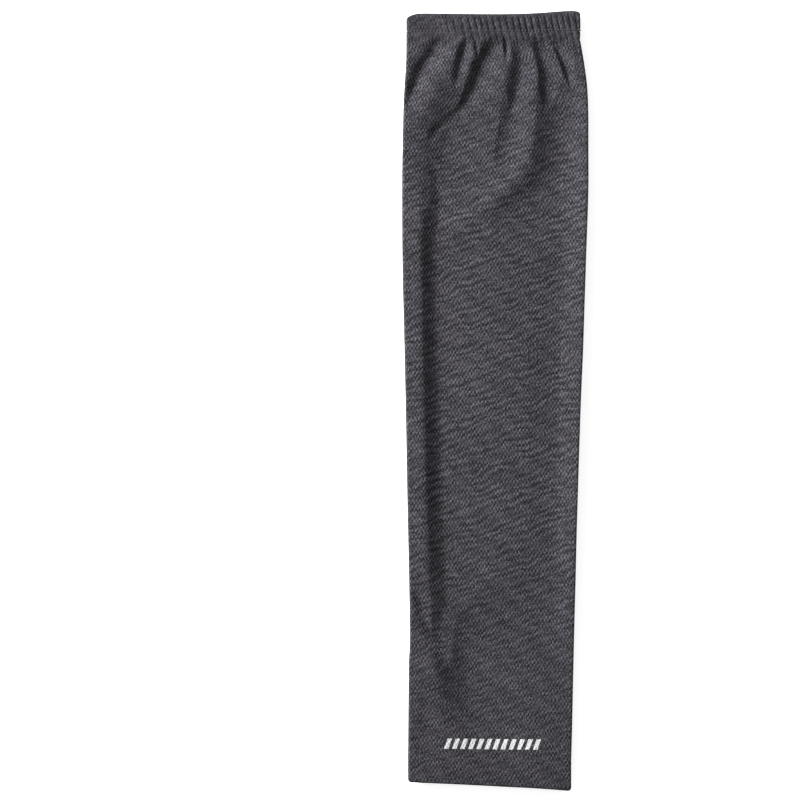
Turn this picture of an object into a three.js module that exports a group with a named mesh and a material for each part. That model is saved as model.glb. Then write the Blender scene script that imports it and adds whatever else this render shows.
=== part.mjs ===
// Arm protector: a long knitted sleeve that is pulled over the arm, lying flat by itself.
// It is a tube of mesh knit with a gathered elastic cuff at the upper-arm end and a turned-up hem at the
// wrist end. Both ends are open, and the hollow between the two layers is where the arm goes.
// Units are millimetres. +Z is up, +Y points to the upper-arm end and X runs across the flat sleeve.
// The origin is the middle of the footprint, on the surface that the sleeve lies on.
import * as THREE from "three";

// Driving dimensions
const SIDE_LENGTH = 422; // top of the cuff to the wrist edge, along the left side
const CUFF_WIDTH = 96.4; // laid flat, over the elastic
const WIDEST_WIDTH = 103.1; // laid flat, below the gathers
const WRIST_WIDTH = 90.4; // laid flat
const CUFF_HEIGHT = 13.0;
const HEM_HEIGHT = 14.5;
const KNIT_THICKNESS = 1.2;
const CUFF_THICKNESS = 2.6; // knit, elastic and knit
const HEM_THICKNESS = 2.2; // two layers of knit
const CUFF_LOFT = 11.2; // how high each part stands as it lies
const BODY_LOFT = 11.8;
const WRIST_LOFT = 10.6;
const SIDE_RADIUS = 7.2; // of the lower layer's soft turn up along each side
const RIB_HEIGHT = 0.9; // crest to groove of the elastic's gathers
const RIB_PITCH = 3.6;
const SEAM_GAP = 0.3; // between pieces that are sewn together

// How finely the solids are faceted
const TOP_COLUMNS = 44;
const UNDER_COLUMNS = 12;
const BODY_ROWS = 37;
const HEM_ROWS = 2;
const CUFF_ROWS = 3;
const POINTS_PER_RIB = 3;
const FOLD_STEPS = 4; // between two points of a fold's path
const ROW_CROWDING = 0.75; // 0 spaces the body's rows evenly, 1 crowds them to the cuff

const BODY_TOP = CUFF_HEIGHT + SEAM_GAP;
const BODY_BOTTOM = SIDE_LENGTH - HEM_HEIGHT - SEAM_GAP;

// Sections down the body. "along" is the share of the way from the cuff to the hem, "full" goes from the
// wrist's width and loft at 0 to the widest at 1, "gathered" is how far the cuff still pulls the width in,
// and "drift" is the sideways shift of the middle as a share of the widest width.
const SECTIONS = [
  { along: 0.0, full: 1.0, gathered: 1.0, drift: -0.01 },
  { along: 0.03, full: 1.0, gathered: 0.68, drift: -0.001 },
  { along: 0.06, full: 1.0, gathered: 0.33, drift: 0.003 },
  { along: 0.09, full: 1.0, gathered: 0.15, drift: 0.003 },
  { along: 0.14, full: 1.0, gathered: 0.05, drift: 0.0015 },
  { along: 0.2, full: 1.0, gathered: 0.0, drift: 0.0 },
  { along: 0.31, full: 0.87, gathered: 0.0, drift: -0.006 },
  { along: 0.42, full: 0.68, gathered: 0.0, drift: -0.008 },
  { along: 0.53, full: 0.47, gathered: 0.0, drift: -0.012 },
  { along: 0.64, full: 0.3, gathered: 0.0, drift: -0.015 },
  { along: 0.75, full: 0.14, gathered: 0.0, drift: -0.016 },
  { along: 0.84, full: 0.03, gathered: 0.0, drift: -0.018 },
  { along: 0.87, full: 0.05, gathered: 0.0, drift: -0.022 },
  { along: 1.0, full: 0.0, gathered: 0.0, drift: -0.03 },
];

// The two cut ends, from the left side at 0 to the right side at 1, as shares of that end's width
const CUFF_EDGE = [
  { across: 0.0, rise: 0.0 },
  { across: 0.04, rise: 0.017 },
  { across: 0.1, rise: 0.023 },
  { across: 0.6, rise: 0.0235 },
  { across: 0.78, rise: 0.0285 },
  { across: 0.86, rise: 0.0345 },
  { across: 0.96, rise: 0.0385 },
  { across: 1.0, rise: 0.034 },
];
const WRIST_EDGE = [
  { across: 0.0, drop: 0.0 },
  { across: 0.26, drop: 0.014 },
  { across: 0.57, drop: 0.0305 },
  { across: 0.81, drop: 0.041 },
  { across: 1.0, drop: 0.052 },
];

// Folds of the upper layer. "path" runs down it, in rows of [share across, share along the body, share of
// the fold's height]. "height" is a share of the body's loft, below 0 for a valley and above 0 for a ridge,
// and "left" and "right" are how far its two flanks reach, as shares of the widest width.
const FOLDS = [
  { name: "corner_gather", height: -0.26, left: 0.035, right: 0.068,
    path: [[0.185, 0, 0.5], [0.145, 0.019, 0.9], [0.092, 0.038, 1], [0.046, 0.08, 0.8], [0.025, 0.1, 0.2]] },
  { name: "corner_ridge", height: 0.07, left: 0.048, right: 0.155,
    path: [[0.324, 0, 0.4], [0.249, 0.025, 0.8], [0.173, 0.048, 1], [0.048, 0.107, 0.7], [0.02, 0.135, 0.2]] },
  { name: "gather_left", height: -0.224, left: 0.022, right: 0.041,
    path: [[0.352, 0, 0.5], [0.33, 0.01, 1], [0.301, 0.031, 0.9], [0.275, 0.065, 0.3], [0.25, 0.085, 0]] },
  { name: "long_gather", height: -0.32, left: 0.038, right: 0.087,
    path: [[0.52, 0, 0.3], [0.479, 0.011, 0.9], [0.424, 0.033, 1], [0.386, 0.06, 0.95], [0.345, 0.087, 0.9],
           [0.288, 0.106, 0.85], [0.216, 0.122, 0.8], [0.17, 0.14, 0.75], [0.165, 0.165, 0.4]] },
  { name: "gather_middle", height: -0.31, left: 0.047, right: 0.082,
    path: [[0.642, 0, 0.4], [0.65, 0.019, 0.75], [0.636, 0.044, 1], [0.598, 0.089, 0.9], [0.556, 0.118, 0.7],
           [0.515, 0.146, 0.5], [0.47, 0.19, 0]] },
  { name: "gather_right", height: -0.276, left: 0.042, right: 0.097,
    path: [[0.735, 0, 0.4], [0.76, 0.013, 0.95], [0.778, 0.038, 1], [0.776, 0.085, 0.85], [0.765, 0.125, 0]] },
  { name: "soft_hollow", height: -0.32, left: 0.116, right: 0.175,
    path: [[0.815, 0.055, 0.2], [0.825, 0.08, 0.6], [0.832, 0.105, 0.9], [0.83, 0.14, 1], [0.81, 0.165, 0.8],
           [0.75, 0.195, 0.5], [0.66, 0.225, 0.4], [0.55, 0.255, 0.25], [0.42, 0.285, 0]] },
  { name: "short_gather_right", height: -0.224, left: 0.023, right: 0.039,
    path: [[0.834, 0, 0.6], [0.8655, 0.0155, 1], [0.888, 0.031, 0.9], [0.899, 0.048, 0.6], [0.905, 0.068, 0]] },
  { name: "cross_ridge", height: 0.13, left: 0.073, right: 0.044,
    path: [[0.69, 0, 0.3], [0.69, 0.067, 0.5], [0.69, 0.11, 0.7], [0.674, 0.149, 0.9], [0.621, 0.18, 1],
           [0.541, 0.205, 1], [0.446, 0.229, 0.7], [0.35, 0.251, 0.6], [0.29, 0.275, 0.6], [0.252, 0.3, 0.1]] },
  { name: "left_roll", height: 0.13, left: 0.058, right: 0.037,
    path: [[0.083, 0.12, 0.2], [0.083, 0.2, 1], [0.083, 0.7, 1], [0.083, 0.77, 0.4]] },
  { name: "side_valley", height: -0.267, left: 0.056, right: 0.252,
    path: [[0.17, 0.12, 0.5], [0.186, 0.149, 0.9], [0.203, 0.18, 0.9], [0.234, 0.243, 1], [0.21, 0.306, 1],
           [0.206, 0.418, 0.95], [0.21, 0.567, 1], [0.217, 0.694, 1], [0.228, 0.784, 1], [0.206, 0.82, 0.9],
           [0.238, 0.861, 0.5], [0.27, 0.885, 0.2], [0.3, 0.905, 0]] },
  { name: "right_crease", height: -0.095, left: 0.136, right: 0.031,
    path: [[0.885, 0.07, 0.2], [0.88, 0.12, 1], [0.862, 0.3, 0.7], [0.872, 0.6, 0.4], [0.885, 0.84, 0.2]] },
  { name: "right_roll", height: 0.362, left: 0.082, right: 0.136,
    path: [[1, 0.06, 0.2], [1, 0.13, 0.7], [1, 0.27, 0.9], [1, 0.5, 1], [1, 0.75, 0.85], [1, 0.84, 0.4],
           [1, 0.92, 0]] },
  { name: "wrist_crease", height: -0.164, left: 0.029, right: 0.049,
    path: [[0.04, 0.755, 0.1], [0.067, 0.784, 1], [0.105, 0.817, 1], [0.147, 0.834, 1], [0.192, 0.851, 0.8]] },
  { name: "wrist_ridge", height: 0.13, left: 0.087, right: 0.049,
    path: [[0.1, 0.848, 0.2], [0.15, 0.865, 0.9], [0.178, 0.896, 1], [0.198, 0.927, 0.7], [0.22, 0.96, 0.2]] },
  { name: "wrist_valley", height: -0.293, left: 0.073, right: 0.388,
    path: [[0.29, 0.79, 0.1], [0.32, 0.815, 0.5], [0.35, 0.861, 0.95], [0.352, 0.889, 1], [0.36, 0.915, 0.9],
           [0.4, 0.935, 0.6], [0.48, 0.963, 0]] },
];
const FOLD_SHARPNESS = 1.85; // 2 is a round valley, 1 a sharp crease
const PLAIN_EDGE = 0.007; // share of the width beside each side that folds fade out in
const PLAIN_TOP = 0.012; // share of the body below the cuff that folds come in over
const PLAIN_BOTTOM = 0.03; // share of the body above the hem that folds fade out in
const EDGE_POWER = 60; // how square the section's shoulders are
const EDGE_SPACING = 0.45; // 0 spaces the columns evenly, 1 crowds them to the sides
const TINY = 1e-9;

const clamp = THREE.MathUtils.clamp;
const lerp = THREE.MathUtils.lerp;
const smoothstep = THREE.MathUtils.smoothstep;

// A smooth curve through a table's rows: cubic pieces with the slope of the neighbouring rows
function curveThrough(rows, at, column) {
  const slope = (i) => {
    const before = rows[Math.max(i - 1, 0)];
    const after = rows[Math.min(i + 1, rows.length - 1)];
    return (after[column] - before[column]) / (after[at] - before[at]);
  };
  return (value) => {
    const x = clamp(value, rows[0][at], rows[rows.length - 1][at]);
    const i = clamp(rows.findIndex((row) => row[at] >= x) - 1, 0, rows.length - 2);
    const span = rows[i + 1][at] - rows[i][at];
    const t = (x - rows[i][at]) / span;
    const rest = 1 - t;
    const startPull = (1 + 2 * t) * rest * rest * rows[i][column] + t * rest * rest * span * slope(i);
    const endPull = t * t * (1 + 2 * rest) * rows[i + 1][column] - t * t * rest * span * slope(i + 1);
    return startPull + endPull;
  };
}

const fullAt = curveThrough(SECTIONS, "along", "full");
const gatheredAt = curveThrough(SECTIONS, "along", "gathered");
const driftAt = curveThrough(SECTIONS, "along", "drift");
const riseAt = curveThrough(CUFF_EDGE, "across", "rise");
const dropAt = curveThrough(WRIST_EDGE, "across", "drop");

const bodyShare = (down) => (down - BODY_TOP) / (BODY_BOTTOM - BODY_TOP);
const shareAcross = (across) => (across + 1) / 2;

function widthAt(down) {
  const share = bodyShare(down);
  return lerp(lerp(WRIST_WIDTH, WIDEST_WIDTH, fullAt(share)), CUFF_WIDTH, gatheredAt(share));
}

function loftAt(down) {
  const share = bodyShare(down);
  return lerp(lerp(WRIST_LOFT, BODY_LOFT, fullAt(share)), CUFF_LOFT, gatheredAt(share));
}

// The place on the surface below, for a share across from -1 to 1 and a distance down the left side.
// An inset draws the two sides in.
function planPoint(across, down, inset = 0) {
  const side = shareAcross(across);
  const cuffRise = riseAt(side) * CUFF_WIDTH * clamp(1 - down / CUFF_HEIGHT, 0, 1);
  const wristDrop = (dropAt(side) * WRIST_WIDTH * down) / SIDE_LENGTH;
  const x = driftAt(bodyShare(down)) * WIDEST_WIDTH + across * (widthAt(down) / 2 - inset);
  return new THREE.Vector2(x, cuffRise - down - wristDrop);
}

// Each fold's line in millimetres, as a smooth curve, with the share of its height at each step
function traceFold(fold) {
  const knots = fold.path.map(([across, along, strength]) => {
    const plan = planPoint(2 * across - 1, lerp(BODY_TOP, BODY_BOTTOM, along));
    return new THREE.Vector3(plan.x, plan.y, strength);
  });
  const curve = new THREE.CatmullRomCurve3(knots, false, "catmullrom");
  const line = curve.getPoints((knots.length - 1) * FOLD_STEPS);
  return {
    ...fold,
    points: line.map(({ x, y }) => new THREE.Vector2(x, y)),
    strengths: line.map(({ z }) => clamp(z, 0, 1)),
  };
}

const TRACED_FOLDS = FOLDS.map(traceFold);

// How much one fold moves the surface at a place: full on its line, less beside it
function foldShare(fold, place) {
  let best = 0;
  for (let i = 0; i < fold.points.length - 1; i++) {
    const step = fold.points[i + 1].clone().sub(fold.points[i]);
    const t = clamp(place.clone().sub(fold.points[i]).dot(step) / step.lengthSq(), 0, 1);
    const away = place.clone().sub(fold.points[i]).addScaledVector(step, -t);
    const distance = away.length();
    const rightward = step.cross(away) / (step.length() * distance + TINY);
    const halfWidth = lerp(fold.left, fold.right, (rightward + 1) / 2) * WIDEST_WIDTH;
    const strength = lerp(fold.strengths[i], fold.strengths[i + 1], t);
    best = Math.max(best, strength * Math.exp(-Math.pow(distance / halfWidth, FOLD_SHARPNESS)));
  }
  return best;
}

// The deepest valley and the highest ridge at a place decide it, so that folds which meet don't add up
function foldHeight(across, down) {
  const place = planPoint(across, down);
  let valley = 0;
  let ridge = 0;
  for (const fold of TRACED_FOLDS) {
    const height = fold.height * foldShare(fold, place);
    valley = Math.min(valley, height);
    ridge = Math.max(ridge, height);
  }
  const share = bodyShare(down);
  const atSide = smoothstep(1 - Math.abs(across), 0, 2 * PLAIN_EDGE);
  const inBody = smoothstep(share, 0, PLAIN_TOP) * smoothstep(1 - share, 0, PLAIN_BOTTOM);
  return (valley + ridge) * BODY_LOFT * atSide * inBody;
}

// The height of the upper layer's outer face, or of a face that lies inside it by an inset
function topHeight(across, down, inset) {
  const shoulder = Math.sqrt(1 - Math.pow(Math.abs(across), EDGE_POWER));
  return SIDE_RADIUS + (loftAt(down) - inset - SIDE_RADIUS) * shoulder + foldHeight(across, down);
}

// The lower layer lies flat and turns up to the two sides
function underHeight(across, down, inset) {
  const halfWidth = widthAt(down) / 2;
  const intoEdge = clamp((Math.abs(across) * halfWidth - halfWidth + SIDE_RADIUS) / SIDE_RADIUS, 0, 1);
  return inset + (SIDE_RADIUS - inset) * (1 - Math.sqrt(1 - intoEdge * intoEdge));
}

// The columns round a section, from the left side over the top to the right side and back underneath
function columnsRound(topCount, underCount) {
  const spaced = (count, crowding) =>
    Array.from({ length: count + 1 }, (_, i) => {
      const even = (2 * i) / count - 1;
      return lerp(even, Math.sin((even * Math.PI) / 2), crowding);
    });
  const top = spaced(topCount, EDGE_SPACING).map((across) => ({ across, under: false }));
  const under = spaced(underCount, 1).slice(1, -1).reverse().map((across) => ({ across, under: true }));
  return [...top, ...under];
}

// One section's points, where inset says how far inside the outer face each column's point lies
function sectionAt(columns, down, inset) {
  return columns.map(({ across, under }, i) => {
    const plan = planPoint(across, down, inset(i));
    const height = under ? underHeight(across, down, inset(i)) : topHeight(across, down, inset(i));
    return new THREE.Vector3(plan.x, plan.y, height);
  });
}

// A closed wall of cloth between two distances down the sleeve
function clothWall({ from, to, rows, columns, thickness, spacing = (t) => t, grooves = () => 0 }) {
  const count = columns.length;
  const downs = Array.from({ length: rows + 1 }, (_, i) => lerp(from, to, spacing(i / rows)));
  const outerRings = downs.map((down) => sectionAt(columns, down, grooves));
  const innerRings = downs.map((down) => sectionAt(columns, down, () => thickness));
  // Out along the outer face, in along the inner face, and back to the first ring
  const rings = [...outerRings, ...innerRings.reverse()];
  const positions = rings.flat().flatMap((point) => point.toArray());
  const faces = [];
  rings.forEach((_, r) => {
    const next = (r + 1) % rings.length;
    for (let i = 0; i < count; i++) {
      const j = (i + 1) % count;
      const [a, b, c, d] = [r * count + i, next * count + i, next * count + j, r * count + j];
      faces.push(a, b, c, a, c, d);
    }
  });
  const geometry = new THREE.BufferGeometry();
  geometry.setAttribute("position", new THREE.Float32BufferAttribute(positions, 3));
  geometry.setIndex(faces);
  geometry.computeVertexNormals();
  return geometry;
}

const charcoalKnit = new THREE.MeshStandardMaterial({ color: 0x4a484d, roughness: 0.92, metalness: 0 });
const elasticKnit = new THREE.MeshStandardMaterial({ color: 0x464449, roughness: 0.9, metalness: 0 });
const hemKnit = new THREE.MeshStandardMaterial({ color: 0x474549, roughness: 0.92, metalness: 0 });

// The tube: rows are closer together near the cuff, where the gathers are
function sleeveTube() {
  const geometry = clothWall({
    from: BODY_TOP,
    to: BODY_BOTTOM,
    rows: BODY_ROWS,
    columns: columnsRound(TOP_COLUMNS, UNDER_COLUMNS),
    thickness: KNIT_THICKNESS,
    spacing: (t) => lerp(t, t * t, ROW_CROWDING),
  });
  return new THREE.Mesh(geometry, charcoalKnit);
}

// The cuff: the knit is turned over a flat elastic that draws it up into ribs all round
function elasticCuff() {
  const ribColumns = Math.round(CUFF_WIDTH / RIB_PITCH) * POINTS_PER_RIB;
  const groove = (column) => {
    const wave = 1 - Math.cos((2 * Math.PI * column) / POINTS_PER_RIB);
    return (RIB_HEIGHT * wave) / 2;
  };
  const geometry = clothWall({
    from: 0,
    to: CUFF_HEIGHT,
    rows: CUFF_ROWS,
    columns: columnsRound(ribColumns, ribColumns),
    thickness: CUFF_THICKNESS,
    grooves: groove,
  });
  return new THREE.Mesh(geometry, elasticKnit);
}

// The hem: the wrist end turned up inside and sewn down
function wristHem() {
  const geometry = clothWall({
    from: SIDE_LENGTH - HEM_HEIGHT,
    to: SIDE_LENGTH,
    rows: HEM_ROWS,
    columns: columnsRound(TOP_COLUMNS, UNDER_COLUMNS),
    thickness: HEM_THICKNESS,
  });
  return new THREE.Mesh(geometry, hemKnit);
}

const armProtector = new THREE.Group();
const pieces = { sleeve_tube: sleeveTube(), elastic_cuff: elasticCuff(), wrist_hem: wristHem() };
for (const [name, mesh] of Object.entries(pieces)) {
  mesh.name = name;
  armProtector.add(mesh);
}

// Moves the pieces so that the origin is the middle of the footprint
const footprint = new THREE.Box3().setFromObject(armProtector);
const middle = footprint.getCenter(new THREE.Vector3());
for (const mesh of armProtector.children) {
  mesh.position.set(-middle.x, -middle.y, -footprint.min.z);
}

export default armProtector;
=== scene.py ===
"""Arm protector: a long knitted sleeve lying flat, seen from straight above.

The sleeve's fine surface is made here round the solids: the folds and gathers of the knit, the ribs that
the elastic draws up, the rows of stitches, the light and the camera. Lengths are in metres.
"""

import math

import bpy
import numpy as np
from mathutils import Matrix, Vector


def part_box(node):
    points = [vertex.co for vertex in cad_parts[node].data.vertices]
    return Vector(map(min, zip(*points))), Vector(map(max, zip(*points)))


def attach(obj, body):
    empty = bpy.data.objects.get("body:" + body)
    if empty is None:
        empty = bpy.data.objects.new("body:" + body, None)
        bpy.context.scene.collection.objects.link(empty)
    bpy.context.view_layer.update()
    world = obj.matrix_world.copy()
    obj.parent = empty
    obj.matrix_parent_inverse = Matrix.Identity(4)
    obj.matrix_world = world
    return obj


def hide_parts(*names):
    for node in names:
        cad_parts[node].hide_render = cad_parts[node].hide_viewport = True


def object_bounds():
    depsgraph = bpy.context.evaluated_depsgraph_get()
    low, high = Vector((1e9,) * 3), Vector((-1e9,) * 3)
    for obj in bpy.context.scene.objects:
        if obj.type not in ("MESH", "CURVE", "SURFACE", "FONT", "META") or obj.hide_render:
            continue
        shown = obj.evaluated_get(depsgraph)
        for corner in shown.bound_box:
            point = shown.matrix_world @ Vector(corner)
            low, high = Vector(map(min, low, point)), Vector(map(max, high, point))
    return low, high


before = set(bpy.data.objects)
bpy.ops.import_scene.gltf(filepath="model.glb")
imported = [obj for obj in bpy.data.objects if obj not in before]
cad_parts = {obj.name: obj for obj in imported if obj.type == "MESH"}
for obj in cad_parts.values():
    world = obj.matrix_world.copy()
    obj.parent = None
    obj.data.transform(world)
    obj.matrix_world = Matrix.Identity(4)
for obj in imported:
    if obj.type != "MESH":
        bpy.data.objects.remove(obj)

CAD_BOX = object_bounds()
MM = 0.001

# Sizes that come from the frame
TUBE_LOW, TUBE_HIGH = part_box("sleeve_tube")
CUFF_LOW, CUFF_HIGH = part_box("elastic_cuff")
HEM_LOW, HEM_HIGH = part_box("wrist_hem")
WIDEST_WIDTH = TUBE_HIGH.x - TUBE_LOW.x
CUFF_WIDTH = CUFF_HIGH.x - CUFF_LOW.x
WRIST_WIDTH = HEM_HIGH.x - HEM_LOW.x
CUFF_LOFT = CUFF_HIGH.z
WRIST_LOFT = HEM_HIGH.z

# Sizes of the cloth as it lies
CUFF_HEIGHT = 13.0 * MM
HEM_HEIGHT = 14.5 * MM
BODY_LOFT = 11.8 * MM
KNIT_THICKNESS = 1.2 * MM
CUFF_THICKNESS = 2.6 * MM
HEM_THICKNESS = 2.2 * MM
CUFF_STITCHES = 8.0 * MM

# Each side: its roundness below its widest point, the height of that point as a share of the loft, and how
# sharply the upper layer turns down to it
SIDE_RADIUS = 7.2 * MM
SIDE_SHARE = 0.62
EDGE_POWER = 150

# How far the tube's two ends run into the cuff and the hem, and how deep inside their faces they lie there
OVERLAP = 0.6 * MM
TUCK = 0.3 * MM

# How fast the loft grows from the wrist's to the body's, as the width does
LOFT_GROWTH = 4

# How far each side's widest point rises and falls, as a share of the loft, and what sets the two sides apart
SIDE_SPREAD = 0.13
SIDE_SHIFT = 0.1

# How uneven the upper layer is between its folds, and where its relief fades out: towards the two sides, as a
# share of the half width, and towards the cuff and the hem, as shares of the body
UNEVENNESS = 0.25 * MM
FADE_AT_SIDES = 0.014
FADE_AT_CUFF = (-0.009, 0.006)
FADE_AT_HEM = (-0.03, 0.05)

# The ribs that the elastic draws up: their mean width, their full height, how far they lean to the side for
# each length down, how far their places wander, how rounded they are (less makes their grooves narrower), and
# their mean size and its spread as shares of the full height
RIB_PITCH = 3.55 * MM
RIB_HEIGHT = 1.05 * MM
RIB_LEAN = 0.28
RIB_PLACE_SPREAD = 1.1 * MM
RIB_ROUNDNESS = 0.55
RIB_MEAN_SIZE = 0.74
RIB_SIZE_SPREAD = 0.26

# On the cuff the ribs start beyond its smooth left part, "across" as shares of the width, fade out at the
# top fold and are lower below the stitches, which lie in a groove
CUFF_RIBS_ACROSS = (0.14, 0.36)
LEAST_CUFF_RIB = 0.06
CUFF_RIBS_TOP = (0.8 * MM, 3.2 * MM)
STITCH_SHOULDERS = (-1.0 * MM, 0.6 * MM)
LOWERED_BY_STITCHES = 0.4
GROOVE_DEPTH = 0.3 * MM
GROOVE_HALF_WIDTH = 0.7 * MM

# Below the cuff the ribs run out into the body
BODY_RIBS_ACROSS = (0.1, 0.34)
BODY_RIBS_START = (-0.5 * MM, 1.5 * MM)
BODY_RIBS_REACH = 6.0 * MM
BODY_RIB_SHARE = 0.5

# The share of the sleeve's length over which the cuff still gathers the knit
GATHERED_LENGTH = 0.2

# Sections down the body, from the cuff at 0 to the hem at 1. "full" goes from the wrist's width and loft
# to the widest, "gathered" is how far the cuff pulls the width in, and "drift" is the sideways shift of
# the middle as a share of the widest width.
SECTIONS = [
    {"along": 0.0, "full": 1.0, "gathered": 1.0, "drift": -0.01},
    {"along": 0.03, "full": 1.0, "gathered": 0.68, "drift": -0.001},
    {"along": 0.06, "full": 1.0, "gathered": 0.33, "drift": 0.003},
    {"along": 0.09, "full": 1.0, "gathered": 0.15, "drift": 0.003},
    {"along": 0.14, "full": 1.0, "gathered": 0.05, "drift": 0.0015},
    {"along": 0.2, "full": 1.0, "gathered": 0.0, "drift": 0.0},
    {"along": 0.31, "full": 0.87, "gathered": 0.0, "drift": -0.006},
    {"along": 0.42, "full": 0.68, "gathered": 0.0, "drift": -0.008},
    {"along": 0.53, "full": 0.47, "gathered": 0.0, "drift": -0.012},
    {"along": 0.64, "full": 0.3, "gathered": 0.0, "drift": -0.015},
    {"along": 0.75, "full": 0.14, "gathered": 0.0, "drift": -0.016},
    {"along": 0.84, "full": 0.03, "gathered": 0.0, "drift": -0.018},
    {"along": 0.87, "full": 0.05, "gathered": 0.0, "drift": -0.022},
    {"along": 1.0, "full": 0.0, "gathered": 0.0, "drift": -0.03},
]

# The two cut ends, from the left side at 0 to the right side at 1, as shares of that end's width
CUFF_EDGE = [
    {"across": 0.0, "rise": 0.0},
    {"across": 0.04, "rise": 0.017},
    {"across": 0.1, "rise": 0.023},
    {"across": 0.6, "rise": 0.0235},
    {"across": 0.78, "rise": 0.0285},
    {"across": 0.86, "rise": 0.0345},
    {"across": 0.96, "rise": 0.0385},
    {"across": 1.0, "rise": 0.034},
]
WRIST_EDGE = [
    {"across": 0.0, "drop": 0.0},
    {"across": 0.26, "drop": 0.014},
    {"across": 0.57, "drop": 0.0305},
    {"across": 0.81, "drop": 0.041},
    {"across": 1.0, "drop": 0.052},
]

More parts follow.
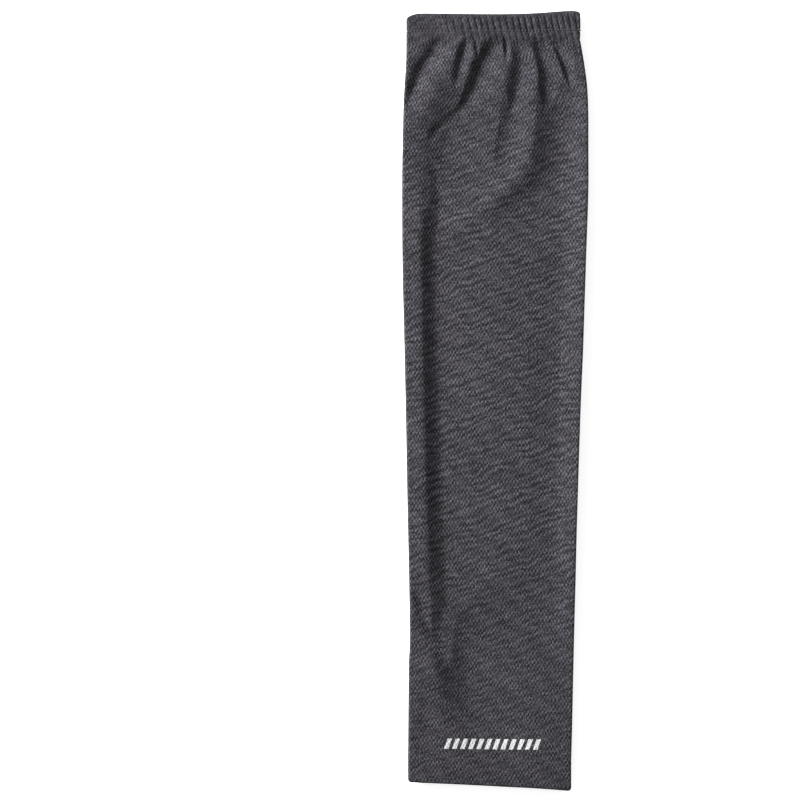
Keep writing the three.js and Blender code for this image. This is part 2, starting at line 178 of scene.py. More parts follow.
# Folds of the upper layer. Each runs down along a path of (share across, share along the body, share of the
# fold's height). "height" is below 0 for a valley, and "left" and "right" are how far its two flanks reach,
# all in millimetres.
FOLDS = [
    {"name": "corner_gather", "height": -3.0, "left": 3.6, "right": 7.0,
     "path": [(0.185, -0.003, 0.5), (0.145, 0.019, 0.9), (0.092, 0.038, 1.0), (0.064, 0.06, 1.0),
              (0.04, 0.08, 0.8), (0.02, 0.1, 0.2)]},
    {"name": "corner_ridge", "height": 1.2, "left": 4.2, "right": 14.0,
     "path": [(0.324, 0.0, 0.4), (0.24, 0.025, 0.8), (0.162, 0.046, 1.0), (0.105, 0.07, 1.0),
              (0.055, 0.098, 0.8), (0.02, 0.124, 0.2)]},
    {"name": "gather_a", "height": -2.6, "left": 2.3, "right": 4.2,
     "path": [(0.352, -0.003, 0.5), (0.33, 0.01, 1.0), (0.301, 0.031, 0.9), (0.291, 0.048, 0.6),
              (0.275, 0.065, 0.3), (0.25, 0.085, 0.0)]},
    {"name": "gather_b", "height": -1.7, "left": 1.4, "right": 1.8,
     "path": [(0.392, -0.003, 0.8), (0.4, 0.012, 1.0), (0.404, 0.028, 0.0)]},
    {"name": "long_gather", "height": -3.7, "left": 3.9, "right": 9.0,
     "path": [(0.52, -0.003, 0.3), (0.479, 0.011, 0.9), (0.424, 0.033, 1.0), (0.386, 0.06, 0.95),
              (0.332, 0.087, 0.95), (0.268, 0.106, 0.95), (0.2, 0.12, 0.9), (0.165, 0.135, 0.6),
              (0.155, 0.155, 0.1)]},
    {"name": "corner_hollow", "height": -3.8, "left": 11.0, "right": 28.0,
     "path": [(0.33, 0.098, 0.1), (0.295, 0.111, 0.7), (0.268, 0.125, 1.0), (0.255, 0.145, 1.0),
              (0.248, 0.165, 0.95), (0.24, 0.185, 0.85), (0.232, 0.208, 0.5), (0.225, 0.235, 0.0)]},
    {"name": "gather_c", "height": -2.9, "left": 1.5, "right": 2.2,
     "path": [(0.566, -0.003, 0.8), (0.565, 0.014, 1.0), (0.56, 0.036, 0.0)]},
    {"name": "gather_d", "height": -3.6, "left": 4.8, "right": 8.5,
     "path": [(0.642, -0.003, 0.4), (0.65, 0.019, 0.75), (0.636, 0.044, 1.0), (0.613, 0.07, 1.0),
              (0.598, 0.089, 0.9), (0.556, 0.118, 0.7), (0.515, 0.146, 0.5), (0.485, 0.17, 0.3),
              (0.47, 0.19, 0.0)]},
    {"name": "middle_hollow", "height": -3.2, "left": 8.5, "right": 13.0,
     "path": [(0.625, 0.07, 0.2), (0.606, 0.092, 0.8), (0.584, 0.115, 1.0), (0.559, 0.137, 0.95),
              (0.538, 0.155, 0.75), (0.515, 0.175, 0.4), (0.49, 0.2, 0.0)]},
    {"name": "gather_e", "height": -3.2, "left": 4.3, "right": 10.0,
     "path": [(0.735, -0.003, 0.4), (0.76, 0.013, 0.95), (0.778, 0.038, 1.0), (0.776, 0.07, 1.0),
              (0.776, 0.085, 0.85), (0.77, 0.105, 0.4), (0.765, 0.125, 0.0)]},
    {"name": "soft_hollow", "height": -3.6, "left": 14.0, "right": 22.0,
     "path": [(0.825, 0.055, 0.2), (0.84, 0.08, 0.6), (0.852, 0.105, 0.9), (0.855, 0.14, 1.0),
              (0.85, 0.165, 0.9), (0.785, 0.195, 0.65), (0.66, 0.227, 0.5), (0.53, 0.253, 0.3),
              (0.4, 0.285, 0.0)]},
    {"name": "gather_f", "height": -3.2, "left": 2.8, "right": 4.5,
     "path": [(0.834, -0.003, 0.6), (0.8655, 0.0155, 1.0), (0.886, 0.031, 1.0), (0.9, 0.048, 0.9),
              (0.912, 0.064, 0.6), (0.922, 0.085, 0.0)]},
    {"name": "gather_g", "height": -1.3, "left": 1.4, "right": 1.8,
     "path": [(0.897, -0.003, 0.8), (0.908, 0.012, 0.9), (0.922, 0.03, 0.0)]},
    {"name": "cross_ridge", "height": 1.5, "left": 7.5, "right": 6.5,
     "path": [(0.69, 0.0, 0.3), (0.69, 0.025, 0.4), (0.69, 0.067, 0.5), (0.688, 0.11, 0.7),
              (0.682, 0.149, 0.9), (0.68, 0.174, 1.0), (0.645, 0.191, 1.0), (0.565, 0.207, 1.0),
              (0.462, 0.227, 0.8), (0.36, 0.25, 0.6), (0.29, 0.275, 0.6), (0.252, 0.3, 0.1)]},
    {"name": "left_roll", "height": 1.3, "left": 7.0, "right": 3.4,
     "path": [(0.098, 0.16, 0.0), (0.099, 0.23, 0.5), (0.1, 0.3, 1.0), (0.1, 0.5, 1.0), (0.107, 0.64, 1.0),
              (0.113, 0.72, 0.8), (0.108, 0.78, 0.3)]},
    {"name": "side_valley", "height": -3.0, "left": 5.9, "right": 26.0,
     "path": [(0.176, 0.12, 0.1), (0.179, 0.149, 0.5), (0.193, 0.18, 0.95), (0.206, 0.218, 1.0),
              (0.203, 0.245, 1.0), (0.19, 0.275, 1.0), (0.188, 0.306, 1.0), (0.189, 0.348, 0.95),
              (0.192, 0.418, 0.95), (0.198, 0.489, 1.0), (0.203, 0.567, 1.0), (0.209, 0.64, 1.0),
              (0.216, 0.694, 1.0), (0.226, 0.755, 1.0), (0.23, 0.784, 1.0), (0.212, 0.8, 1.0),
              (0.196, 0.82, 1.0), (0.206, 0.84, 0.8), (0.236, 0.861, 0.4), (0.268, 0.885, 0.15),
              (0.31, 0.905, 0.0)]},
    {"name": "right_crease", "height": -1.2, "left": 14.0, "right": 3.2,
     "path": [(0.885, 0.07, 0.2), (0.88, 0.12, 0.6), (0.87, 0.2, 0.55), (0.862, 0.3, 0.5),
              (0.866, 0.45, 0.5), (0.872, 0.6, 0.4), (0.885, 0.84, 0.2)]},
    {"name": "right_roll", "height": 4.2, "left": 8.5, "right": 14.0,
     "path": [(1.0, 0.06, 0.2), (1.0, 0.13, 0.7), (1.0, 0.27, 0.9), (1.0, 0.5, 1.0), (1.0, 0.75, 0.85),
              (1.0, 0.84, 0.4), (1.0, 0.92, 0.0)]},
    {"name": "wrist_crease", "height": -1.6, "left": 3.4, "right": 6.0,
     "path": [(0.04, 0.755, 0.1), (0.053, 0.77, 0.6), (0.067, 0.784, 1.0), (0.082, 0.8, 1.0),
              (0.105, 0.817, 1.0), (0.147, 0.834, 1.0), (0.192, 0.851, 0.8)]},
    {"name": "wrist_ridge", "height": 1.5, "left": 9.0, "right": 5.0,
     "path": [(0.1, 0.848, 0.2), (0.15, 0.865, 0.9), (0.178, 0.89, 0.9), (0.198, 0.92, 0.3),
              (0.22, 0.96, 0.0)]},
    {"name": "wrist_valley", "height": -4.2, "left": 11.0, "right": 40.0,
     "path": [(0.305, 0.79, 0.1), (0.325, 0.812, 0.5), (0.337, 0.828, 0.8), (0.348, 0.842, 0.94),
              (0.36, 0.855, 0.95), (0.368, 0.875, 0.88), (0.376, 0.895, 0.84), (0.39, 0.915, 0.78),
              (0.424, 0.935, 0.62), (0.467, 0.952, 0.33), (0.5, 0.966, 0.0)]},
    {"name": "hem_hollow", "height": -0.9, "left": 4.5, "right": 9.0,
     "path": [(0.1, 0.91, 0.0), (0.105, 0.935, 0.8), (0.11, 0.96, 1.0), (0.11, 1.0, 0.6)]},
]

# How steeply a fold's flanks fall away, how many pieces its line has between two points of its path, and a
# length that keeps divisions from being by zero
FOLD_SHARPNESS = 1.85
FOLD_STEPS = 6
TINY = 1e-9

# How finely the surfaces are divided: columns on the upper and the lower layer, rows, and steps round a lip
EDGE_SAMPLES = 201
TUBE_COLUMNS = (186, 26)
CUFF_COLUMNS = (420, 200)
HEM_COLUMNS = (168, 60)
TUBE_ROWS = 364
LINING_ROWS = 56
LINING_CROWDING = 1.6
CUFF_ROWS = 26
HEM_ROWS = 22
LIP_STEPS = 6
STITCH_COLUMNS = (1200, 600)
STITCH_RINGS = 7
STITCH_SIDES = 6

# How much closer together the columns lie towards the two sides
COLUMN_CROWDING = 0.7
CUFF_CROWDING = 0.3

# How far the inside of the tube is shifted on the knit, in millimetres, so that no print falls on it
LINING_SHIFT = 400.0


def smooth_curve(rows, at, column):
    """A smooth curve through a table's rows, with the slope of the neighbouring rows at each."""
    places = np.array([row[at] for row in rows])
    values = np.array([row[column] for row in rows])
    slopes = np.gradient(values, places)
    slopes[1:-1] = (values[2:] - values[:-2]) / (places[2:] - places[:-2])

    def curve(value):
        """The curve's value at a place, which is held between the table's first and last ones."""
        x = np.clip(value, places[0], places[-1])
        i = np.clip(np.searchsorted(places, x) - 1, 0, len(places) - 2)
        span = places[i + 1] - places[i]
        t = (x - places[i]) / span
        rest = 1 - t
        start = (1 + 2 * t) * rest**2 * values[i] + t * rest**2 * span * slopes[i]
        end = t**2 * (1 + 2 * rest) * values[i + 1] - t**2 * rest * span * slopes[i + 1]
        return start + end

    return curve


full_at = smooth_curve(SECTIONS, "along", "full")
gathered_at = smooth_curve(SECTIONS, "along", "gathered")
drift_at = smooth_curve(SECTIONS, "along", "drift")
rise_at = smooth_curve(CUFF_EDGE, "across", "rise")
drop_at = smooth_curve(WRIST_EDGE, "across", "drop")

# The left side's length, and the place of its top end, follow from the frame and the two edges
MOST_RISE = rise_at(np.linspace(0, 1, EDGE_SAMPLES)).max() * CUFF_WIDTH
TOP_Y = CAD_BOX[1].y - MOST_RISE
SIDE_LENGTH = TOP_Y - CAD_BOX[0].y - float(drop_at(1.0)) * WRIST_WIDTH
BODY_TOP = CUFF_HEIGHT
BODY_BOTTOM = SIDE_LENGTH - HEM_HEIGHT
MIDDLE_X = (CUFF_LOW.x + CUFF_HIGH.x) / 2 - float(drift_at(0.0)) * WIDEST_WIDTH


def smoothstep(value, low, high):
    """A smooth rise from 0 at the low value to 1 at the high one."""
    t = np.clip((value - low) / (high - low), 0, 1)
    return t * t * (3 - 2 * t)


def body_share(down):
    """How far along the body a place is, from the cuff at 0 to the hem at 1."""
    return (down - BODY_TOP) / (BODY_BOTTOM - BODY_TOP)


def width_at(down):
    """The sleeve's width at a distance down the left side."""
    share = body_share(down)
    free = WRIST_WIDTH + (WIDEST_WIDTH - WRIST_WIDTH) * full_at(share)
    return free + (CUFF_WIDTH - free) * gathered_at(share)


def loft_at(down):
    """How high the upper layer stands between its folds."""
    share = body_share(down)
    free = WRIST_LOFT + (BODY_LOFT - WRIST_LOFT) * np.clip(LOFT_GROWTH * full_at(share), 0, 1)
    return free + (CUFF_LOFT - free) * gathered_at(share)


def plan_point(across, down, inset=0.0):
    """The place on the floor for a share across from -1 to 1 and a distance down the left side.

    An inset draws the two sides in.
    """
    side = (across + 1) / 2
    cuff_rise = rise_at(side) * CUFF_WIDTH * np.clip(1 - down / CUFF_HEIGHT, 0, 1)
    wrist_drop = drop_at(side) * WRIST_WIDTH * down / SIDE_LENGTH
    x = MIDDLE_X + drift_at(body_share(down)) * WIDEST_WIDTH + across * (width_at(down) / 2 - inset)
    return x, TOP_Y + cuff_rise - down - wrist_drop


def traced_path(path):
    """A fold's line as a smooth curve through its path: places on the floor, and shares of its height."""
    knots = np.array([(*plan_point(2 * across - 1, BODY_TOP + along * (BODY_BOTTOM - BODY_TOP)), strength)
                      for across, along, strength in path])
    ends = np.vstack([2 * knots[0] - knots[1], knots, 2 * knots[-1] - knots[-2]])
    steps = np.linspace(0, 1, FOLD_STEPS, endpoint=False)[:, None]
    pieces = []
    for a, b, c, d in zip(ends, ends[1:], ends[2:], ends[3:]):
        bend = 2 * a - 5 * b + 4 * c - d
        twist = 3 * b - a - 3 * c + d
        pieces.append(b + 0.5 * steps * (c - a + steps * (bend + steps * twist)))
    line = np.vstack(pieces + [knots[-1:]])
    return line[:, :2], np.clip(line[:, 2], 0, 1)


def fold_share(fold, x, y):
    """How much of one fold's height reaches each place: all of it on its line, less beside it."""
    line, strength = traced_path(fold["path"])
    best = np.zeros_like(x)
    for i in range(len(line) - 1):
        step = line[i + 1] - line[i]
        from_x, from_y = x - line[i][0], y - line[i][1]
        t = np.clip((from_x * step[0] + from_y * step[1]) / (step @ step), 0, 1)
        away_x, away_y = from_x - t * step[0], from_y - t * step[1]
        distance = np.hypot(away_x, away_y) + TINY
        side = (step[0] * away_y - step[1] * away_x) / (math.hypot(*step) * distance)
        half_width = (fold["left"] + (fold["right"] - fold["left"]) * (side + 1) / 2) * MM
        reach = np.exp(-((distance / half_width) ** FOLD_SHARPNESS))
        best = np.maximum(best, reach * (strength[i] + t * (strength[i + 1] - strength[i])))
    return best


def fold_height(x, y):
    """The relief of all folds: the deepest valley and the highest ridge that reach each place."""
    valley = np.zeros_like(x)
    ridge = np.zeros_like(x)
    for fold in FOLDS:
        height = fold["height"] * MM * fold_share(fold, x, y)
        valley = np.minimum(valley, height)
        ridge = np.maximum(ridge, height)
    return valley + ridge


def waves(phase_table, *values):
    """A smooth irregular pattern from -1 to 1: a sum of sines of the values given."""
    total = sum(np.sin(sum(k * v for k, v in zip(ks, values)) + phase) for *ks, phase in phase_table)
    return total / len(phase_table)


# Sines that make up the irregular patterns: their turns for each metre, in radians, and their phase
WANDER = [(61.0, 35.0, 0.4), (-48.0, 52.0, 1.9), (97.0, -22.0, 3.1), (30.0, 88.0, 5.2)]
RIB_WANDER = [(160.0, 0.3), (283.0, 2.1), (97.0, 4.4)]
RIB_SIZES = [(421.0, 1.0), (252.0, 3.3), (119.0, 5.6)]
SIDE_WANDER = [(57.0, 30.0, 0.8), (-93.0, 18.0, 2.7), (151.0, -12.0, 5.1)]


def rib_phase(x, down):
    """Which rib a place is on, counted from the left, with uneven widths and a lean."""
    leaning = x - RIB_LEAN * (down - CUFF_HEIGHT / 2)
    return (leaning + RIB_PLACE_SPREAD * waves(RIB_WANDER, leaning)) / RIB_PITCH


def rib_height(x, down, fade):
    """Rounded crests with narrow grooves, where fade says how much of the full height there is."""
    crest = np.abs(np.sin(np.pi * rib_phase(x, down))) ** RIB_ROUNDNESS
    size = RIB_MEAN_SIZE + RIB_SIZE_SPREAD * waves(RIB_SIZES, x)
    return RIB_HEIGHT * (crest - 1) * size * fade


def side_height(across, down, y):
    """How high the widest point of each side stands, which wanders a little along the sleeve."""
    wander = waves(SIDE_WANDER, y, SIDE_SHIFT * np.sign(across))
    return loft_at(down) * (SIDE_SHARE + SIDE_SPREAD * wander)


def top_height(across, down, x, y, inset):
    """The height of the upper layer's outer face, or of a face that lies inside it by an inset."""
    shoulder = np.sqrt(1 - np.abs(across) ** EDGE_POWER)
    side = side_height(across, down, y)
    base = side + (loft_at(down) - inset - side) * shoulder
    away_from_sides = smoothstep(1 - np.abs(across), 0, FADE_AT_SIDES)
    share = body_share(down)
    in_body = smoothstep(share, *FADE_AT_CUFF) * smoothstep(1 - share, *FADE_AT_HEM)
    relief = (fold_height(x, y) + UNEVENNESS * waves(WANDER, x, y)) * in_body
    below_cuff = down - CUFF_HEIGHT
    ribs = smoothstep((across + 1) / 2, *BODY_RIBS_ACROSS) * smoothstep(below_cuff, *BODY_RIBS_START)
    ribs = ribs * np.exp(-np.clip(below_cuff, 0, None) / BODY_RIBS_REACH)
    relief = relief + rib_height(x, down, BODY_RIB_SHARE * ribs)
    return base + relief * away_from_sides


def under_height(across, down, y, inset):
    """The height of the lower layer, which lies flat and turns up to the two sides."""
    half_width = width_at(down) / 2
    into_edge = np.clip((np.abs(across) * half_width - half_width + SIDE_RADIUS) / SIDE_RADIUS, 0, 1)
    return inset + (side_height(across, down, y) - inset) * (1 - np.sqrt(1 - into_edge**2))


def columns_round(top_count, under_count, crowding=COLUMN_CROWDING):
    """Shares across for the columns round a section, and which of them are on the under side."""
    even = np.linspace(-1, 1, top_count + 1)
    top = even + (np.sin(even * math.pi / 2) - even) * crowding
    under = np.sin(np.linspace(1, -1, under_count + 1)[1:-1] * math.pi / 2)
    return np.r_[top, under], np.r_[np.zeros(top.size, bool), np.ones(under.size, bool)]


def surface_points(columns, downs, inset=0.0):
    """A face's points, one row for each distance down and one column for each share across.

    The outer face has no inset, and the inner one lies inside it by the cloth's thickness.
    """
    across, is_under = columns
    across_grid, down_grid = np.meshgrid(across, downs)
    x, y = plan_point(across_grid, down_grid, inset)
    z = np.empty_like(x)
    z[:, ~is_under] = top_height(*(grid[:, ~is_under] for grid in (across_grid, down_grid, x, y)), inset)
    z[:, is_under] = under_height(*(grid[:, is_under] for grid in (across_grid, down_grid, y)), inset)
    return np.stack([x, y, z], axis=-1)


def outward_normals(points):
    """The direction out of the cloth at each point of a ring grid."""
    around = np.roll(points, -1, axis=1) - np.roll(points, 1, axis=1)
    along = np.gradient(points, axis=0)
    normals = np.cross(along, around)
    return normals / np.linalg.norm(normals, axis=-1, keepdims=True)


def distance_round(points):
    """How far round the section each column is from the first one, and at the end the whole way round."""
    closed = np.concatenate([points, points[:, :1]], axis=1)
    steps = np.hypot(np.diff(closed[..., 0], axis=1), np.diff(closed[..., 2], axis=1))
    return np.concatenate([np.zeros((len(points), 1)), np.cumsum(steps, axis=1)], axis=1)


def mark_sharp_rings(mesh, ring_numbers, column_count):
    """Keeps the smooth shading from running over the edges along some of the rings."""
    ends = np.empty(2 * len(mesh.edges), np.int32)
    mesh.edges.foreach_get("vertices", ends)
    rings = ends.reshape(-1, 2) // column_count
    sharp = (rings[:, 0] == rings[:, 1]) & np.isin(rings[:, 0], ring_numbers)
    mesh.attributes.new("sharp_edge", "BOOLEAN", "EDGE").data.foreach_set("value", sharp)


def ring_mesh(name, rings, knit_u, knit_v, sharp_rings, material):
    """A closed mesh from rings of points that run along the outer face and back along the inner one.

    The shading breaks at the sharp rings.
    """
    ring_count, column_count, _ = rings.shape
    index = np.arange(ring_count * column_count).reshape(ring_count, column_count)
    a = index
    b = np.roll(index, -1, axis=0)
    c = np.roll(b, -1, axis=1)
    d = np.roll(index, -1, axis=1)
    faces = np.stack([a, b, c, d], axis=-1).reshape(-1, 4)
    mesh = bpy.data.meshes.new(name)
    mesh.from_pydata(rings.reshape(-1, 3).tolist(), [], faces.tolist())
    u_end = knit_u[:, 1:]
    u_start = knit_u[:, :-1]
    v_next = np.roll(knit_v, -1)
    u = np.stack([u_start, np.roll(u_start, -1, axis=0), np.roll(u_end, -1, axis=0), u_end], axis=-1)
    v = np.stack([knit_v, v_next, v_next, knit_v], axis=-1)
    v = np.broadcast_to(v[:, None, :], u.shape)
    layer = mesh.uv_layers.new(name="knit")
    layer.uv.foreach_set("vector", np.stack([u, v], axis=-1).astype(np.float32).ravel())
    mesh.polygons.foreach_set("use_smooth", np.ones(len(faces), bool))
    mesh.materials.append(material)
    mesh.validate()
    mark_sharp_rings(mesh, sharp_rings, column_count)
    piece = bpy.data.objects.new(name, mesh)
    bpy.context.scene.collection.objects.link(piece)
    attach(piece, "root")
    return piece


def knit_places(points, downs, middle_column):
    """Where on the flat cloth each point comes from, in millimetres: round the tube and down it."""
    round_it = distance_round(points)
    middle = round_it[:, middle_column][:, None]
    gather = np.where(downs < GATHERED_LENGTH * SIDE_LENGTH, WIDEST_WIDTH / width_at(downs), 1.0)
    gather = gather[:, None]
    return (round_it - middle) * gather / MM, downs / MM


def cloth_wall(name, downs, columns, thickness, material, ribs=None, lips=(False, False), lining=None,
               lining_shift=0.0, tucked=0.0):
    """A walled tube of cloth with rows at the given distances down the sleeve.

    "ribs" gives the relief of its outer face, and "lips" says whether its first and its last row end in a
    rounded fold. "lining" is the number of rows on its inner face, where that is coarser than the outer one,
    and "lining_shift" moves the knit there. "tucked" is how deep its first and last rows lie inside the
    neighbouring pieces.
    """
    insets = np.zeros((len(downs), 1))
    insets[[0, -1]] = tucked
    base = surface_points(columns, downs, insets)
    outer = base if ribs is None else base + outward_normals(base) * ribs(base, downs)[..., None]
    inside_rows = np.arange(len(downs))
    if lining is not None:
        shares = np.linspace(0, 1, lining) ** LINING_CROWDING
        inside_rows = np.unique((shares * (len(downs) - 1)).round().astype(int))
    inner = surface_points(columns, downs[inside_rows], thickness)
    across, is_under = columns
    knit_u, knit_v = knit_places(base, downs, np.count_nonzero(~is_under) // 2)
    turn = np.linspace(0, math.pi, LIP_STEPS + 1)[1:-1]
    rings, us, vs = [outer], [knit_u], [knit_v]
    sharp_rings = [1, len(downs) - 2] if tucked else []

    def add_lip(row, direction):
        """Rings that turn half round from the outer face to the inner one."""
        start, end = outer[row], inner[row]
        centre, half = (start + end) / 2, (start - end) / 2
        radius = np.linalg.norm(half, axis=-1, keepdims=True)
        for angle in turn:
            out = np.array([0.0, direction, 0.0]) * radius * math.sin(angle)
            rings.append((centre + half * math.cos(angle) + out)[None])
            us.append(knit_u[row][None])
            vs.append(knit_v[row][None] - direction * (radius.mean() * angle / MM))

    if lips[1]:
        add_lip(-1, -1.0)
    else:
        sharp_rings += [len(downs) - 1, len(downs)]
    rings.append(inner[::-1])
    us.append(knit_u[inside_rows][::-1] + lining_shift)
    vs.append(knit_v[inside_rows][::-1])
    if lips[0]:
        inside_to_outside = len(rings)
        add_lip(0, 1.0)
        rings[inside_to_outside:] = rings[inside_to_outside:][::-1]
        us[inside_to_outside:] = us[inside_to_outside:][::-1]
        vs[inside_to_outside:] = vs[inside_to_outside:][::-1]
    rings = np.concatenate(rings)
    if not lips[0]:
        sharp_rings += [0, len(rings) - 1]
    return ring_mesh(name, rings, np.concatenate(us), np.concatenate(vs), sharp_rings, material)


class Look:
    """A material with a Principled shader, and short ways to add nodes to it."""

    def __init__(self, name):
        self.material = bpy.data.materials.new(name)
        self.material.use_nodes = True
        self.tree = self.material.node_tree
        self.shader = self.tree.nodes["Principled BSDF"]

    def feed(self, socket, value):
        """Links the value to the socket if it comes from a node, or else sets it there."""
        if isinstance(value, bpy.types.NodeSocket):
            self.tree.links.new(value, socket)
        else:
            socket.default_value = value

    def add(self, kind, inputs, **settings):
        """A new node with its settings made and its inputs fed."""
        node = self.tree.nodes.new(kind)
        for key, value in settings.items():
            setattr(node, key, value)
        for socket, value in inputs.items():
            self.feed(node.inputs[socket], value)
        return node

    def math(self, operation, *values):
        """The result of a sum or a function on values."""
        return self.add("ShaderNodeMath", dict(enumerate(values)), operation=operation).outputs[0]

    def between(self, value, low, high, to_low=0.0, to_high=1.0):
        """A smooth change from one result at the low value to another at the high one."""
        node = self.add("ShaderNodeMapRange", {"Value": value, "From Min": low, "From Max": high,
                                               "To Min": to_low, "To Max": to_high},
                        interpolation_type="SMOOTHSTEP")
        return node.outputs["Result"]

    def noise(self, place, scale, detail=2.0, roughness=0.5):
        """A smooth random pattern from 0 to 1."""
        node = self.add("ShaderNodeTexNoise", {"Vector": place, "Scale": scale, "Detail": detail,
                                               "Roughness": roughness})
        return node.outputs["Fac"]

    def centred_noise(self, place, scale, detail=2.0, roughness=0.5):
        """The same pattern from -0.5 to 0.5."""
        return self.math("SUBTRACT", self.noise(place, scale, detail, roughness), 0.5)

    def mix(self, share, first, second):
        """A colour between two, which is the second one where the share is 1."""
        node = self.add("ShaderNodeMix", {}, data_type="RGBA")
        for socket, value in zip((0, 6, 7), (share, first, second)):
            self.feed(node.inputs[socket], value)
        return node.outputs[2]


# The knit's colours: the yarn's own colour with painted highlight on the loops' tops, and painted shade for
# the gaps between them. Its loops across and down, in millimetres on the flat cloth
YARN_AND_HIGHLIGHT = (0.0778, 0.0739, 0.0854, 1.0)
GAP_SHADE = (0.0055, 0.0053, 0.0065, 1.0)
LOOP_ACROSS = 2.0
LOOP_DOWN = 3.35

# How far the loops stray from their even places, in millimetres
STRAY_ACROSS = 1.5
STRAY_DOWN = 1.8

# How fine each irregular pattern is: about how many of its spots lie along a millimetre of the flat cloth
SPOTS = {"strays_across": 0.45, "strays_down": 0.53, "bends": 0.07, "loops": 0.25, "fibres": 1.05,
         "tint": 0.035}

# Slanting streaks and wide bands, paler and darker: the distance from one to the next in millimetres, their
# slope, and how far they bend, in turns
STREAK_PERIOD = 3.82
STREAK_SLOPE = math.radians(20.5)
STREAK_BEND = 2.4
BAND_PERIOD = 10.4
BAND_SLOPE = math.radians(-35.0)
BAND_BEND = 1.6

# The streaks are strong in some spots and weak in others, and weaker near the cuff and near the wrist, by the
# place down the cloth in millimetres. Their strength goes smoothly from "to_low" at the low value to
# "to_high" at the high one. STREAK_SPOTS is about how many spots lie across one streak, and STREAK_STRETCH
# the share of that for each millimetre along it.
STREAK_SPOTS = 0.7
STREAK_STRETCH = 0.1
STREAKS_UNEVEN = {"low": 0.35, "high": 0.65, "to_low": 0.35, "to_high": 1.35}
STREAKS_NEAR_CUFF = {"low": 20.0, "high": 110.0, "to_low": 0.45, "to_high": 1.0}
STREAKS_NEAR_WRIST = {"low": 400.0, "high": 260.0, "to_low": 0.6, "to_high": 1.0}

# The same for the height of the loops and for the knit's tint: the two values of the pattern, and the least
# and the most that they lead to
LOOPS_UNEVEN = (0.36, 0.64)
LEAST_LOOPS = 0.35
MOST_LOOPS = 1.15
TINT_UNEVEN = (0.25, 0.75)
LEAST_TINT = 0.92
MOST_TINT = 1.08

# How much each pattern adds to the knit's relief or to its colour
RISING_LOOPS = 0.56
FALLING_LOOPS = 0.5
FIBRES = 3.55
STREAKS_IN_COLOUR = 0.42
STREAKS_IN_LOOPS = 0.06
BANDS_IN_COLOUR = 0.15

# The relief's values where the gaps' painted shade and the yarn's colour with its painted highlight are
# reached, the contrast between, and the surface
RELIEF_RANGE = (-1.9, 2.1)
YARN_SHADE_CONTRAST = 1.7
KNIT_ROUGHNESS = {"low": -1.0, "high": 1.0, "to_low": 0.98, "to_high": 0.8}
KNIT_SPECULAR = 0.1
KNIT_BUMP = 0.12 * MM
KNIT_BUMP_STRENGTH = 0.9

# The printed row of slanting bars near the wrist, in millimetres on the flat cloth
PRINT = (0.36, 0.36, 0.365, 1.0)
PRINT_MIDDLE = (1.4, 398.9)
PRINT_HALF_SIZE = (26.8, 2.8)
PRINT_BARS = 12
PRINT_SLANT = 0.35
PRINT_SLOPE = 0.036
PRINT_SOFTNESS = 0.1
BAR_EDGE = 0.25

# Sewing thread: how fine its twisted grooves and its spots are, how much the grooves waver, how much of its
# colour the twist sets as painted shade in the grooves, and its surface
THREAD_DARK = (0.02, 0.019, 0.023, 1.0)
THREAD_PALE = (0.075, 0.072, 0.08, 1.0)
THREAD_TWIST = 900.0
TWIST_DISTORTION = 2.0
THREAD_SPOTS = 300.0
TWIST_SHADE_SHARE = 0.4
THREAD_ROUGHNESS = {"low": 0.0, "high": 1.0, "to_low": 0.8, "to_high": 0.6}
THREAD_BUMP = 0.05 * MM
THREAD_BUMP_STRENGTH = 0.5


def along_slope(look, u, v, slope, scale):
    """The distance on the cloth along a line that is turned up by a slope, times a scale."""
    return look.math("SUBTRACT", look.math("MULTIPLY", u, math.cos(slope) * scale),
                     look.math("MULTIPLY", v, math.sin(slope) * scale))


def across_slope(look, u, v, slope, scale):
    """The distance on the cloth across a line that is turned up by a slope, times a scale."""
    return look.math("ADD", look.math("MULTIPLY", u, math.sin(slope) * scale),
                     look.math("MULTIPLY", v, math.cos(slope) * scale))


def print_mask(look, u, v):
    """Where the printed bars are."""
    half_length, half_height = PRINT_HALF_SIZE
    beside = look.math("SUBTRACT", u, PRINT_MIDDLE[0])
    down = look.math("MULTIPLY_ADD", beside, PRINT_SLOPE, look.math("SUBTRACT", v, PRINT_MIDDLE[1]))
    across = look.math("MULTIPLY_ADD", down, PRINT_SLANT, beside)
    wave = look.math("COSINE", look.math("MULTIPLY", across, math.pi * PRINT_BARS / half_length))
    bars = look.between(wave, BAR_EDGE, 0.0)
    in_row = look.between(look.math("ABSOLUTE", down), half_height + PRINT_SOFTNESS,
                          half_height - PRINT_SOFTNESS)
    in_length = look.between(look.math("ABSOLUTE", across), half_length + PRINT_SOFTNESS,
                             half_length - PRINT_SOFTNESS)
    return look.math("MULTIPLY", look.math("MULTIPLY", bars, in_row), in_length)


def loop_pattern(look, place, axes):
    """Raised loops in staggered rows, and the strayed place on the cloth that they follow."""
    sideways = look.centred_noise(place, scale=SPOTS["strays_across"])
    u = look.math("MULTIPLY_ADD", sideways, STRAY_ACROSS, axes["X"])
    lengthways = look.centred_noise(place, scale=SPOTS["strays_down"])
    v = look.math("MULTIPLY_ADD", lengthways, STRAY_DOWN, axes["Y"])
    across = look.math("MULTIPLY", u, 2 * math.pi / LOOP_ACROSS)
    down = look.math("MULTIPLY", v, 2 * math.pi / LOOP_DOWN)
    rising = look.math("COSINE", look.math("ADD", across, down))
    falling = look.math("COSINE", look.math("SUBTRACT", across, down))
    loops = look.math("MULTIPLY_ADD", rising, RISING_LOOPS, look.math("MULTIPLY", falling, FALLING_LOOPS))
    return loops, u, v


def sine_of_turns(look, turns):
    """The sine of an angle that is given in whole turns."""
    return look.math("SINE", look.math("MULTIPLY", turns, 2 * math.pi))


